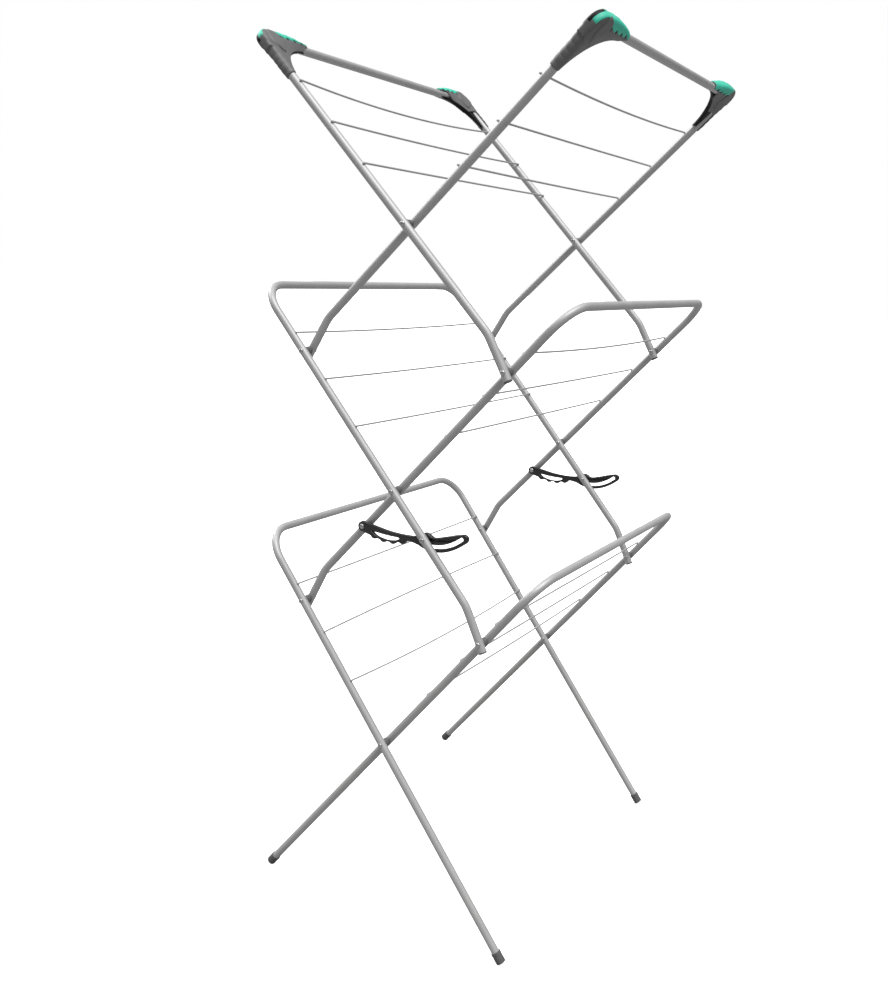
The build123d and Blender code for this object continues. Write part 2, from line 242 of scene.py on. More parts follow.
SHARP_ANGLE = 42.0
THINNEST = 0.02           # least radius of a lathed ring, so that its ends stay closed
DOME_STEPS = 5
DOME_STEP = 17.5          # degrees
DOME_DEPTH = 0.8          # of the bar's radius


def piece(name, solids, body, slot, nodes):
    """One named piece from closed solids (points in mm, faces), standing for CAD nodes."""
    points, faces = [], []
    for solid_points, solid_faces in solids:
        base = len(points)
        points += [Vector(point) * MM for point in solid_points]
        faces += [[index + base for index in face] for face in solid_faces]
    mesh = bpy.data.meshes.new(name)
    mesh.from_pydata(points, [], faces)
    work = bmesh.new()
    work.from_mesh(mesh)
    bmesh.ops.recalc_face_normals(work, faces=work.faces)
    work.to_mesh(mesh)
    work.free()
    mesh.shade_smooth()
    mesh.set_sharp_from_angle(angle=math.radians(SHARP_ANGLE))
    mesh.materials.append(MATERIALS[slot])
    item = bpy.data.objects.new(name, mesh)
    bpy.context.scene.collection.objects.link(item)
    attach(item, body)
    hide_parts(*nodes)


def loft(rings, caps=True):
    """A surface through closed rings of points."""
    rings = np.asarray(rings, float)
    count, width = rings.shape[:2]
    points = [tuple(point) for point in rings.reshape(-1, 3)]
    faces = []
    for row in range(count - 1):
        for column in range(width):
            after = (column + 1) % width
            low, high = row * width, (row + 1) * width
            faces.append([low + column, low + after, high + after, high + column])
    if caps:
        faces.append(list(range(width)))
        faces.append([(count - 1) * width + column for column in reversed(range(width))])
    return points, faces


def lathe(profile, origin, axis, sides=48, floor=None):
    """A solid of revolution. The profile is (radius, height) pairs, heights along the axis."""
    axis = Vector(axis).normalized()
    first = axis.orthogonal().normalized()
    second = axis.cross(first)
    rings = []
    for radius, height in profile:
        centre = Vector(origin) + axis * height
        ring = []
        for side in range(sides):
            turn = 2 * math.pi * side / sides
            outward_way = first * math.cos(turn) + second * math.sin(turn)
            point = centre + outward_way * max(radius, THINNEST)
            if floor is not None:
                point.z = max(point.z, floor)
            ring.append(point)
        rings.append(ring)
    return loft(rings)


def rounded(corners, steps=5):
    """A polyline of (x, y, radius) corners, with each radius made round."""
    path = []
    for index, (x, y, radius) in enumerate(corners):
        here = Vector((x, y))
        if radius <= 0 or index in (0, len(corners) - 1):
            path.append((x, y))
            continue
        back = (Vector(corners[index - 1][:2]) - here)
        ahead = (Vector(corners[index + 1][:2]) - here)
        reach = min(radius, back.length * 0.5, ahead.length * 0.5)
        start = here + back.normalized() * reach
        end = here + ahead.normalized() * reach
        for step in range(steps + 1):
            t = step / steps
            point = start * (1 - t) ** 2 + here * 2 * t * (1 - t) + end * t ** 2
            path.append(tuple(point))
    return path


def sweep(path, radius, sides=20):
    """A round bar along a gently curved path, with domed ends."""
    path = [Vector(point) for point in path]
    across = (path[-1] - path[0]).normalized().orthogonal().normalized()
    rings = []

    def ring(centre, direction, size):
        first = (across - direction * across.dot(direction)).normalized()
        second = direction.cross(first)
        turns = [2 * math.pi * side / sides for side in range(sides)]
        rings.append([centre + (first * math.cos(a) + second * math.sin(a)) * size for a in turns])

    def end(centre, direction, outward):
        steps = range(1, DOME_STEPS + 1)
        for step in reversed(steps) if outward < 0 else steps:
            a = math.radians(step * DOME_STEP)
            ring(centre + direction * outward * radius * DOME_DEPTH * math.sin(a), direction,
                 radius * math.cos(a))

    for index, centre in enumerate(path):
        ahead = path[min(index + 1, len(path) - 1)]
        behind = path[max(index - 1, 0)]
        direction = (ahead - behind).normalized()
        if index == 0:
            end(centre, direction, -1)
        ring(centre, direction, radius)
        if index == len(path) - 1:
            end(centre, direction, 1)
    return loft(rings)


def bead(centre, axes, sizes, sides=18, rows=9):
    """A weld bead: a flattened lump with a slightly uneven skin."""
    rings = []
    for row in range(rows):
        polar = math.pi * (row + 0.5) / rows
        ring = []
        for side in range(sides):
            turn = 2 * math.pi * side / sides
            swell = 1 + 0.06 * math.sin(3 * turn + 5 * polar) + 0.04 * math.sin(7 * turn)
            unit = (math.sin(polar) * math.cos(turn), math.sin(polar) * math.sin(turn),
                    math.cos(polar))
            offset = Vector()
            for axis, size, part in zip(axes, sizes, unit):
                offset += axis * size * part * swell
            ring.append(centre + offset)
        rings.append(ring)
    return loft(rings)


# -------------------------------------------------------------------- wires

WIRE_POINTS = 41
BEAD_LIFT = 0.35          # bead centre beyond the tube's skin
BEAD_SIZE = (2.2, 2.0, 0.6)
ALONG_Y = Vector((0, 1, 0))


def wire(item, along, sag):
    """One drying wire with its two weld beads. A negative overhang ends it behind the tube."""
    overhang = WIRE_OVERHANG[item.name]
    start = item.at(along, item.near_y - overhang + WIRE_R, WIRE_LIFT)
    end = item.at(along, item.far_y, WIRE_LIFT)
    path = []
    for step in range(WIRE_POINTS):
        t = step / (WIRE_POINTS - 1)
        path.append(start.lerp(end, t) - Vector((0, 0, 4 * sag * t * (1 - t))))
    solids = [sweep(path, WIRE_R)]
    for y in (item.near_y - min(overhang, 0.0), item.far_y):
        contact = item.at(along, y, TUBE_R + BEAD_LIFT)
        solids.append(bead(contact, (item.up, ALONG_Y, item.face), BEAD_SIZE))
    return solids


for item in FRAMES:
    tube = frame["nodes"][f"{item.name}_tube"]
    tube.data.materials.clear()
    tube.data.materials.append(MATERIALS["tube_steel"])
    for number, (along, sag) in enumerate(zip(WIRE_STEPS[item.tier], WIRE_SAG[item.name]), 1):
        piece(f"wire_{item.name}_{number}", wire(item, along, sag), item.body, "wire_steel",
              [f"{item.name}_wire_{number}"])


# ----------------------------------------------------------- feet and plugs

def foot(item, y):
    """A cap on a leg's end, flat where it meets the floor."""
    profile = rounded([
        (0, 0.5, 0), (4.4, 0.5, 0.4), (4.9, 0, 0.4), (FOOT_R, 0, 2.6), (FOOT_R - 0.1, 13.6, 0.3),
        (FOOT_R + 0.25, 14.2, 0.4), (FOOT_R + 0.25, FOOT_HEIGHT, 0.9),
        (TUBE_R + 0.1, FOOT_HEIGHT, 0.3),
        (TUBE_R + 0.02, 3.2, 0.2), (0, 3.2, 0)])
    return lathe(profile, item.at(-LEG_LENGTH, y), item.up, floor=0.0)


def plug(item, y):
    """The plug in a cranked end."""
    end = item.at(-KNEE_DROP, y) + item.tail() * (CRANK_LENGTH + CRANK_TAIL)
    profile = rounded([
        (0, -1.9, 0), (2.0, -1.9, 0.3), (2.5, -2.5, 0.3), (TUBE_R, -2.5, 2.0), (TUBE_R, -0.2, 0.1),
        (TUBE_R - 1.05, 0, 0.05), (TUBE_R - 1.05, 7.0, 0.5), (0, 7.0, 0)])
    return lathe(profile, end, -item.tail())


for item in FRAMES:
    for end, y in (("near", item.near_y), ("far", item.far_y)):
        if item.tier == "leg":
            piece(f"foot_{item.name}_{end}", [foot(item, y)], item.body, "foot_plastic",
                  [f"{item.name}_foot_{end}"])
        else:
            piece(f"plug_{item.name}_{end}", [plug(item, y)], item.body, "plug_plastic",
                  [f"{item.name}_plug_{end}"])


# ------------------------------------------------------ rivets and spacers

HEAD_SKIRT = 1.6          # how far a head reaches down on to its round tube
SPACER_START = 2.0        # from the front tube's axis


def head_profile(skirt):
    """A domed rivet head, from its top down to the end of its skirt."""
    dome = [(HEAD_R * sin(a) * 0.97, 1.45 * (1 - cos(a))) for a in range(0, 85, 7)]
    return dome + rounded([(dome[-1][0], dome[-1][1], 0), (HEAD_R, dome[-1][1] + 0.15, 0.1),
                           (HEAD_R, HEAD_RISE + skirt, 0)])


def rivet(place, front_y, back_y, skirt=HEAD_SKIRT):
    """A rivet along Y: a domed head in front, and a rolled tail behind with its hole."""
    point = Vector((place.x, front_y, place.z))
    head = lathe(head_profile(skirt) + [(RIVET_R, HEAD_RISE + skirt)], point, ALONG_Y)
    length = back_y - front_y
    bar = lathe([(RIVET_R, HEAD_RISE), (RIVET_R, length - HEAD_RISE)], point, ALONG_Y, sides=24)
    roll = rounded([
        (1.3, -2.0, 0), (1.3, 0.5, 0.9), (2.4, HEAD_RISE - SIDE_GAP, 1.2),
        (HEAD_R, HEAD_RISE * 0.55, 1.1), (HEAD_R, 0, 0.2), (RIVET_R, -0.2, 0), (RIVET_R, -2.0, 0)])
    tail = lathe(roll, point + ALONG_Y * (length - HEAD_RISE + SIDE_GAP), ALONG_Y)
    return [head, bar, tail]


def spacer(place, front_y, back_y):
    """A moulded collar between two tubes, with a rim at each end and a bore."""
    length = back_y - front_y
    profile = rounded([
        (2.55, 0, 0), (SPACER_R, 0, 0.3), (SPACER_R, 6.0, 0.4), (SPACER_R - 0.5, 6.4, 0.3),
        (SPACER_R - 0.5, length - 2.2, 0.3), (SPACER_R, length - 1.8, 0.4), (SPACER_R, length, 0.6),
        (2.55, length, 0)])
    return lathe(profile, Vector((place.x, front_y, place.z)), ALONG_Y)


def mirrored(point):
    return Vector((-point.x, point.y, point.z))


PIVOTS = {
    "leg_left": [(JOINTS["fold"], "leg_right"), (JOINTS["middle_right_pivot"], "middle_right")],
    "middle_left": [
        (mirrored(JOINTS["middle_right_pivot"]), "leg_right"),
        (JOINTS["middle_left_pivot"], "middle_right"),
        (mirrored(JOINTS["top_left_pivot"]), "top_right"),
    ],
    "top_left": [
        (JOINTS["top_left_pivot"], "middle_right"),
        (JOINTS["top_right_pivot"], "top_right"),
    ],
}
for name, owned in PIVOTS.items():
    front = BY_NAME[name]
    rivets, spacers = [], []
    for place, behind in owned:
        back = BY_NAME[behind]
        for front_y, back_y in ((front.near_y, back.near_y), (front.far_y, back.far_y)):
            rivets += rivet(place, front_y - TUBE_R - HEAD_RISE, back_y + TUBE_R + HEAD_RISE)
            spacers.append(spacer(place, front_y + SPACER_START, back_y - TUBE_R - SIDE_GAP))
    piece(f"rivets_{name}", rivets, front.body, "rivet_steel", [f"{name}_rivets"])
    piece(f"spacers_{name}", spacers, front.body, "spacer_plastic", [f"{name}_spacers"])


# -------------------------------------------------------------------- locks

# The stay's side view, from its eye at the origin, with its handle along +X
EYE_R = 8.0
STAY_TOP = ((0, EYE_R), (24, 4.2), (43, 1.2), (61, -0.3), (79, -0.4), (92, 0.8), (99, 3.2),
            (106, 7.6), (113, 9.4), (119, 7.4), (125, 4.3), (132, 5.0), (146, 9.0), (160, 13.5),
            (175, 17.2))
STAY_TIP = ((175, 17.2), (180.3, 15.6), (182.8, 11.6), (182.3, 7.9), (180, 4.6))
STAY_UNDER = ((180, 4.6), (168, -4.2), (158, -10.0), (148, -14.1), (138, -16.7), (125, -17.5),
              (110, -15.5), (97, -10.8), (84, -8.6))
STAY_BELLY = ((84, -8.6), (65, -13.8), (47, -15.8), (29, -14.6), (12, -10.8), (0, -EYE_R))
LOBE_R = 7.5
LOBE_STEPS = (22.0, 38.5, 55.0, 71.5)
LOBE_DROP = 11.2
LOBE_ARCH = 4.6
LOBE_MIDDLE = 46.0
LOBE_SPREAD = 30.0
CRESCENT_TOP = ((16.5, -4.0), (41.0, -6.2), (65.2, -6.7))
CRESCENT_LOW = ((65.2, -6.7), (66.2, -8.2), (60.5, -11.4), (52.0, -13.4), (43.0, -13.8),
                (33.0, -12.4), (25.0, -9.9), (16.5, -4.0))
LONG_SLOT = ((119.0, -10.4), (134.0, -9.0), (146.5, -5.8), (160.0, 0.6), (172.4, 9.4))
SLOT_HALF = 2.9
GROOVE_HALF = 2.2
GROOVE_DEPTH = 4.6
FOLD_TRAVEL = 85.0
STAY_LIFT = 0.040         # how far the pin climbs in the stay, per degree of fold
EDGE_ROUND = 1.7
GROOVE_ROUND = 0.3
CATCH_R = 2.6
CATCH_TIP_R = 1.8


def smooth_curve(points, steps=10):
    """A Catmull-Rom curve through the points."""
    points = [Vector(point) for point in points]
    ends = [points[0] * 2 - points[1]] + points + [points[-1] * 2 - points[-2]]
    path = []
    for a, b, c, d in zip(ends, ends[1:], ends[2:], ends[3:]):
        for step in range(steps):
            t = step / steps
            path.append(0.5 * (b * 2 + (c - a) * t + (a * 2 - b * 5 + c * 4 - d) * t ** 2
                               + (b * 3 - a - c * 3 + d) * t ** 3))
    return path + [points[-1]]


def stay_outline():
    """The stay's outer edge, with finger lobes along its underside."""
    edge = smooth_curve(STAY_TOP) + smooth_curve(STAY_TIP)[1:] + smooth_curve(STAY_UNDER)[1:]
    belly = smooth_curve(STAY_BELLY, 24)[1:]
    for point in belly:
        for x in LOBE_STEPS:
            drop = LOBE_DROP - LOBE_ARCH * ((x - LOBE_MIDDLE) / LOBE_SPREAD) ** 2
            if abs(point.x - x) < LOBE_R:
                low = -drop - math.sqrt(LOBE_R ** 2 - (point.x - x) ** 2)
                point.y = min(point.y, low)
    edge += belly
    for turn in range(260, 95, -10):
        edge.append(Vector((EYE_R * cos(turn), EYE_R * sin(turn))))
    return edge


def slot_outline(points, half, steps=16):
    """A slot of constant width along a curve, with round ends."""
    path = smooth_curve(points, steps)
    sides = [[], []]
    for index, point in enumerate(path):
        run = (path[min(index + 1, len(path) - 1)] - path[max(index - 1, 0)]).normalized()
        across = Vector((-run.y, run.x)) * half
        sides[0].append(point + across)
        sides[1].append(point - across)
    outline = list(sides[0])
    for end, start in ((path[-1], sides[0][-1]), (path[0], sides[1][0])):
        arm = start - end
        for step in range(1, 8):
            a = -math.pi * step / 8
            outline.append(end + Vector((arm.x * math.cos(a) - arm.y * math.sin(a),
                                         arm.x * math.sin(a) + arm.y * math.cos(a))))
        if end is path[-1]:
            outline += list(reversed(sides[1]))
    return outline


def flat_solid(name, outlines, thickness, edge_round):
    """A plate of this thickness from closed outlines in millimetres, with rounded edges."""
    curve = bpy.data.curves.new(name, "CURVE")
    curve.dimensions = "2D"
    curve.fill_mode = "BOTH"
    curve.extrude = thickness / 2 - edge_round
    curve.bevel_depth = edge_round
    curve.bevel_resolution = 3
    curve.offset = -edge_round
    for outline in outlines:
        spline = curve.splines.new("POLY")
        spline.points.add(len(outline) - 1)
        for mark, point in zip(spline.points, outline):
            mark.co = (point[0], point[1], 0, 1)
        spline.use_cyclic_u = True
    item = bpy.data.objects.new(name, curve)
    bpy.context.scene.collection.objects.link(item)
    view = bpy.context.evaluated_depsgraph_get()
    mesh = bpy.data.meshes.new_from_object(item.evaluated_get(view))
    bpy.data.objects.remove(item)
    return mesh


def mesh_object(name, mesh):
    item = bpy.data.objects.new(name, mesh)
    bpy.context.scene.collection.objects.link(item)
    return item


def groove_path():
    """The catch pin's path in the stay's own axes, over the whole fold."""
    points = []
    for fold in (0, FOLD_TRAVEL / 4, FOLD_TRAVEL / 2, FOLD_TRAVEL * 3 / 4, FOLD_TRAVEL):
        reach = 2 * STAY_ARM * sin(MIDDLE_LEAN + fold / 2)
        points.append((reach * cos(STAY_LIFT * fold), reach * sin(STAY_LIFT * fold)))
    return points


def weld(mesh):
    work = bmesh.new()
    work.from_mesh(mesh)
    bmesh.ops.remove_doubles(work, verts=work.verts, dist=0.002)
    bmesh.ops.dissolve_degenerate(work, edges=work.edges, dist=0.002)
    bmesh.ops.recalc_face_normals(work, faces=work.faces)
    work.to_mesh(mesh)
    work.free()


def stay_mesh():
    """The stay in millimetres, in its own frame: eye at the origin, front face towards +Z."""
    crescent = smooth_curve(CRESCENT_TOP, 12)[:-1] + smooth_curve(CRESCENT_LOW, 10)[:-1]
    plate = flat_solid("stay_plate", [stay_outline(), crescent, slot_outline(LONG_SLOT, SLOT_HALF)],
                       STAY_THICK, EDGE_ROUND)
    weld(plate)
    groove = flat_solid("stay_groove", [slot_outline(groove_path(), GROOVE_HALF, 8)],
                        GROOVE_DEPTH * 2, GROOVE_ROUND)
    weld(groove)
    item = mesh_object("stay_plate", plate)
    cutter = mesh_object("stay_cutter", groove)
    cutter.location.z = STAY_THICK / 2
    cut = item.modifiers.new("groove", "BOOLEAN")
    cut.operation = "DIFFERENCE"
    cut.solver = "EXACT"
    cut.object = cutter
    view = bpy.context.evaluated_depsgraph_get()
    mesh = bpy.data.meshes.new_from_object(item.evaluated_get(view))
    bpy.data.objects.remove(item)
    bpy.data.objects.remove(cutter)
    return mesh


STAY = stay_mesh()
MIDDLE_RIGHT = BY_NAME["middle_right"]
MIDDLE_LEFT = BY_NAME["middle_left"]
STAY_EYE = MIDDLE_RIGHT.at(-STAY_ARM, 0)
STAY_CATCH = MIDDLE_LEFT.at(-STAY_ARM, 0)
for end in ("near", "far"):
    low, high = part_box(f"lock_{end}")
    y = (low.y + high.y) / 2 / MM
    mesh = STAY.copy()
    upright_turn = Matrix.Rotation(math.pi / 2, 4, "X")
    mesh.transform(Matrix.Translation((STAY_EYE.x, y, STAY_EYE.z)) @ upright_turn)
    mesh.transform(Matrix.Scale(MM, 4))
    boss = lathe(rounded([(2.6, 0, 0), (5.2, 0, 0.3), (5.6, 0.7, 0.4), (2.6, 0.7, 0)]),
                 (STAY_EYE.x, y + STAY_THICK / 2 - 0.1, STAY_EYE.z), ALONG_Y)
    start = len(mesh.vertices)
    points = [tuple(vertex.co) for vertex in mesh.vertices]
    points += [tuple(Vector(p) * MM) for p in boss[0]]
    faces = [list(face.vertices) for face in mesh.polygons]
    faces += [[index + start for index in face] for face in boss[1]]
    solid = [Vector(point) / MM for point in points], faces
    piece(f"stay_{end}", [solid], f"lock_stay_{end}", "lock_plastic", [f"lock_{end}"])

stay_rivets, catches = [], []
for end in ("near", "far"):
    low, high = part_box(f"lock_{end}")
    front_y, back_y = low.y / MM, high.y / MM
    tube_back = getattr(MIDDLE_RIGHT, f"{end}_y")
    tube_front = getattr(MIDDLE_LEFT, f"{end}_y")
    stay_rivets += rivet(STAY_EYE, front_y - SIDE_GAP - HEAD_RISE,
                         tube_back + TUBE_R + HEAD_RISE, skirt=0.0)
    point = Vector((STAY_CATCH.x, tube_front - TUBE_R - HEAD_RISE, STAY_CATCH.z))
    head = head_profile(HEAD_SKIRT) + [(CATCH_R, HEAD_RISE + HEAD_SKIRT)]
    catches.append(lathe(head, point, ALONG_Y))
    pin = front_y + GROOVE_DEPTH - SIDE_GAP - point.y
    back = HEAD_RISE + 2 * TUBE_R
    profile = [(CATCH_R, HEAD_RISE), (CATCH_R, back), (CATCH_TIP_R, back + 0.2),
               (CATCH_TIP_R, pin - 0.4), (CATCH_TIP_R - 0.4, pin)]
    catches.append(lathe(profile, point, ALONG_Y, sides=32))
piece("rivets_lock", stay_rivets, "middle_frame_right", "rivet_steel", ["lock_rivets"])
piece("pins_catch", catches, "middle_frame_left", "rivet_steel", ["catch_pins"])


# ------------------------------------------------------------ corner covers

# The rail's and leg's axes meet at the origin. The rail runs along +p, the leg along -q,
# and n is across the frame. A cover is a C-shaped shell swept round the tube's bend.
COVER_RAIL = 97.0
COVER_LEG = 74.5
COVER_RISE = 15.5
DOME_WALL = 10.8
DOME_R = 20.0
SLEEVE_WALL = 8.2
SLEEVE_TOP = -21.5
CREST_START = 44.0
CREST_DROP = 6.8
HOLLOW_R = 82.0
HOLLOW_AT = 89.5
COVER_T = 9.2
SLEEVE_T = 8.0
EDGE_T = 4.0
RIB = 0.8
RIB_LENGTH = 10.0
SHELL = 2.0
RAIL_RUN = COVER_RAIL - BEND_R
BEND_RUN = BEND_R * math.pi / 2
SPINE = RAIL_RUN + BEND_RUN + COVER_LEG - BEND_R
LEAF_TOP = Vector((14.0, 16.5))
LEAF_TIP = Vector((21.0, -28.5))
LEAF_HALF = 15.0
LEAF_RISE = 1.1
LEAF_GROOVE = 0.7
GRIP_LOW = 1.0
TOOTH = 17.0
TOOTH_DEPTH = 5.0
GRIP_RISE = 1.0
GRIP_END = 44.0
STRIP = {1: 7.4, -1: 0.8}
WRAP = {1: (15.0, 30.0), -1: (4.0, 14.0)}
WRAP_LOW = 16.0
CLIP_HALF = 3.8
CREST_STEPS = 60
CHEEK_STEPS = 40
SLEEVE_CUT = (-24.0, -38.0)
HOOD_FROM = 80.0
SHORT_HOOD = (56.0, 76.0)
SHELL_COUNT = 46
GRIP_COUNT = 40
REACH_MOST = 45.0
REACH_STEPS = 24
# points across the black strip of painted shade beside the grip
SHADE_STRIP_COUNT = 12


def smoothstep(low, high, x):
    t = np.clip((x - low) / (high - low), 0.0, 1.0)
    return t * t * (3 - 2 * t)


def spine_at(s):
    """The tube's centre line round the corner: the point, and the outward direction."""
    if s < RAIL_RUN:
        return np.array((COVER_RAIL - s, 0.0)), np.array((0.0, 1.0))
    if s > RAIL_RUN + BEND_RUN:
        return np.array((0.0, -BEND_R - (s - RAIL_RUN - BEND_RUN))), np.array((-1.0, 0.0))
    turn = math.pi / 2 + (s - RAIL_RUN) / BEND_R
    out = np.array((math.cos(turn), math.sin(turn)))
    return np.array((BEND_R, -BEND_R)) + out * BEND_R, out


def rib_at(q):
    """The height of the sleeve's four rounded ribs."""
    if SLEEVE_TOP - 5 - 4 * RIB_LENGTH < q < SLEEVE_TOP - 5:
        return RIB * abs(math.sin(math.pi * (q - SLEEVE_TOP + 5) / RIB_LENGTH)) ** 0.7
    return 0.0


def wall_at(q):
    """How far the outer wall stands beyond the leg's axis at this height."""
    step = float(smoothstep(SLEEVE_TOP - 1.2, SLEEVE_TOP, q))
    return SLEEVE_WALL + (DOME_WALL - SLEEVE_WALL) * step + rib_at(q)


def inside(point):
    """Whether a point is inside the cover's outer outline."""
    p, q = point
    along_rail = max(0.0, (p - CREST_START) / (COVER_RAIL - CREST_START))
    crest = COVER_RISE - CREST_DROP * along_rail ** 1.5
    wall = wall_at(q)
    if q > crest or p < -wall:
        return False
    dome = (DOME_R - DOME_WALL, COVER_RISE - DOME_R)
    if p < dome[0] and q > dome[1]:
        return math.hypot(p - dome[0], q - dome[1]) <= DOME_R
    return True


def outer_reach(point, out):
    """The distance from the spine to the outer outline."""
    low, high = 0.0, REACH_MOST
    for _ in range(REACH_STEPS):
        middle = (low + high) / 2
        if inside(point + out * middle):
            low = middle
        else:
            high = middle
    return low


def inner_reach(point, out):
    """The distance from the spine to the concave inner edge."""
    arm = point - np.array((HOLLOW_AT, -HOLLOW_AT))
    b = -float(arm @ out)
    c = float(arm @ arm) - HOLLOW_R ** 2
    root = b * b - c
    if root < 0:
        return 9.0
    return -b - math.sqrt(root) if -b - math.sqrt(root) > 0 else -b + math.sqrt(root)


class Section:
    """The cover's section at one place along the spine: half width and reach, both ways.

    The cover is closed on its n > 0 face. On its other face it is cut back along the
    sleeve and under the hood, so that the tube shows there.
    """

    def __init__(self, s):
        self.s = s
        self.point, self.out = spine_at(s)
        self.top = outer_reach(self.point, self.out)
        p, q = self.point
        self.inner = inner_reach(self.point, self.out)
        on_leg = float(p < BEND_R)
        sleeve = float(smoothstep(*SLEEVE_CUT, q)) * on_leg
        end = float(smoothstep(5.0 - COVER_LEG, -COVER_LEG, q)) * on_leg
        full = -self.inner * (1 - 0.5 * end)
        hood = float(smoothstep(HOOD_FROM, COVER_RAIL, p))
        short_hood = float(smoothstep(*SHORT_HOOD, p))
        self.low = {1: full * (1 - hood) - 0.5 * hood,
                    -1: (full * (1 - sleeve) - 1.0 * sleeve) * (1 - short_hood) + 1.5 * short_hood}
        thin = float(smoothstep(SLEEVE_TOP, SLEEVE_TOP - 2.0, q))
        self.half = COVER_T + (SLEEVE_T - COVER_T) * thin
        self.half += 0.6 * rib_at(q) * on_leg
        self.half -= 1.0 * float(smoothstep(60.0, COVER_RAIL, p))
        self.shoulder = max(0.0, self.top - 12.0)
        self.power = 2.1 + 1.5 * float(smoothstep(9.0, 14.0, self.top))

    def outline(self, side, shrink=0.0):
        """Points (w, n) and their run from the crest down to the lower edge, on one face."""
        top, half, low = self.top - shrink, self.half - shrink, self.low[side]
        a = np.linspace(0, math.pi / 2, CREST_STEPS)
        w = self.shoulder + (top - self.shoulder) * np.cos(a) ** (2 / self.power)
        n = half * np.sin(a) ** (2 / self.power)
        cheek = np.linspace(w[-1], min(low, w[-1] - 0.1), CHEEK_STEPS)[1:]
        w = np.append(w, cheek)
        slope = np.clip((1.5 - cheek) / (1.5 + self.inner), 0.0, 1.0) ** 1.2
        n = np.append(n, half + (EDGE_T - shrink - half) * slope)
        keep = w >= low - 0.001
        w, n = w[keep], n[keep] * side
        run = np.concatenate([[0], np.cumsum(np.hypot(np.diff(w), np.diff(n)))])
        return w, n, run

    def half_outline(self, side, count, shrink=0.0, until=None):
        """Evenly spaced points (w, n) from the crest down to an edge, on one face."""
        w, n, run = self.outline(side, shrink)
        end = run[-1] if until is None else until(self, side, w, n, run)
        place = np.linspace(0, end, count)
        return np.interp(place, run, w), np.interp(place, run, n)

    def to_local(self, w, n):
        """Section coordinates to (p, q, n)."""
        flat = self.point[None, :] + np.asarray(w)[:, None] * self.out[None, :]
        return np.column_stack([flat, n])


def leaf_depth(p, q):
    """How far a point is inside the leaf panel on a cover's face, negative outside."""
    axis = LEAF_TIP - LEAF_TOP
    middle = (LEAF_TIP + LEAF_TOP) / 2
    across = Vector((-axis.y, axis.x)).normalized()
    size = (axis.length ** 2 / 4 + LEAF_HALF ** 2) / (2 * LEAF_HALF)
    depth = np.full(np.shape(p), 1e9)
    for side in (-1, 1):
        centre = middle + across * side * (size - LEAF_HALF)
        depth = np.minimum(depth, size - np.hypot(p - centre.x, q - centre.y))
    return depth


def outward(w, n, side):
    """The outline's outward normals."""
    slope_w, slope_n = np.gradient(w), np.gradient(n)
    size = np.hypot(slope_w, slope_n) * side
    return slope_n / size, -slope_w / size


def c_ring(section, outer, inner):
    """A closed ring from the outer and the inner outline of both faces."""
    pair = []
    for lines in (outer, inner):
        (w_low, n_low), (w_high, n_high) = lines[-1], lines[1]
        w = np.append(w_low[::-1], w_high[1:])
        n = np.append(n_low[::-1], n_high[1:])
        pair.append(section.to_local(w, n))
    return np.concatenate([pair[0], pair[1][::-1]])


def shell_rings(rings=190, count=SHELL_COUNT):
    """The cover: a closed C-shaped shell, with a raised leaf on each face."""
    made = []
    for s in np.linspace(0, SPINE, rings):
        section = Section(s)
        outer, inner = {}, {}
        for side in (-1, 1):
            w, n = section.half_outline(side, count)
            across, facing = outward(w, n, side)
            spot = section.to_local(w, n)
            depth = leaf_depth(spot[:, 0], spot[:, 1])
            rise = LEAF_RISE * smoothstep(-0.2, 0.8, depth)
            groove = smoothstep(-2.2, -0.9, depth) * (1 - smoothstep(-0.7, 0.1, depth))
            rise -= LEAF_GROOVE * groove
            rise *= smoothstep(3.0, 6.0, n * side)
            rise -= 0.9 * (1 - smoothstep(0.0, 1.4, min(s, SPINE - s)))
            outer[side] = (w + across * rise, n + facing * rise)
            inner[side] = section.half_outline(side, count, shrink=SHELL)
        made.append(c_ring(section, outer, inner))
    return np.array(made)


def strip_caps(rings, half):
    """Caps for a C-shaped loft whose ring is an outer half and then an inner half."""
    points, faces = loft(rings, caps=False)
    width = rings.shape[1]
    for row in (0, rings.shape[0] - 1):
        base = row * width
        for column in range(half - 1):
            quad = [base + column, base + column + 1,
                    base + width - 2 - column, base + width - 1 - column]
            faces.append(quad if row == 0 else quad[::-1])
    return points, faces


def grip_limit(section, side, w, n, run):
    """How far down one face the grip comes, as a length along the outline."""
    p = float(section.point[0])
    reach = min(STRIP[side], 0.97 * section.half)
    strip = STRIP[side]
    if side == 1:
        strip = float(np.interp(reach, n[:CREST_STEPS] * side, run[:CREST_STEPS]))
    if section.s >= RAIL_RUN + GRIP_END - 3.0:
        return strip
    spot_q = section.point[1] + w * section.out[1]
    spot_p = section.point[0] + w * section.out[0]
    tooth = GRIP_LOW + TOOTH_DEPTH * (((COVER_RAIL - spot_p) / TOOTH) % 1.0) ** 1.5
    start, end = WRAP[side]
    low = WRAP_LOW + (tooth - WRAP_LOW) * smoothstep(start, end, spot_p)
    past = np.nonzero(spot_q < low)[0]
    if len(past) == 0:
        return float(run[-1]) - 0.3
    index = max(past[0], 1)
    over, under = (spot_q - low)[index - 1], (low - spot_q)[index]
    share = over / max(over + under, 1e-6)
    return max(strip, float(run[index - 1] + (run[index] - run[index - 1]) * share))


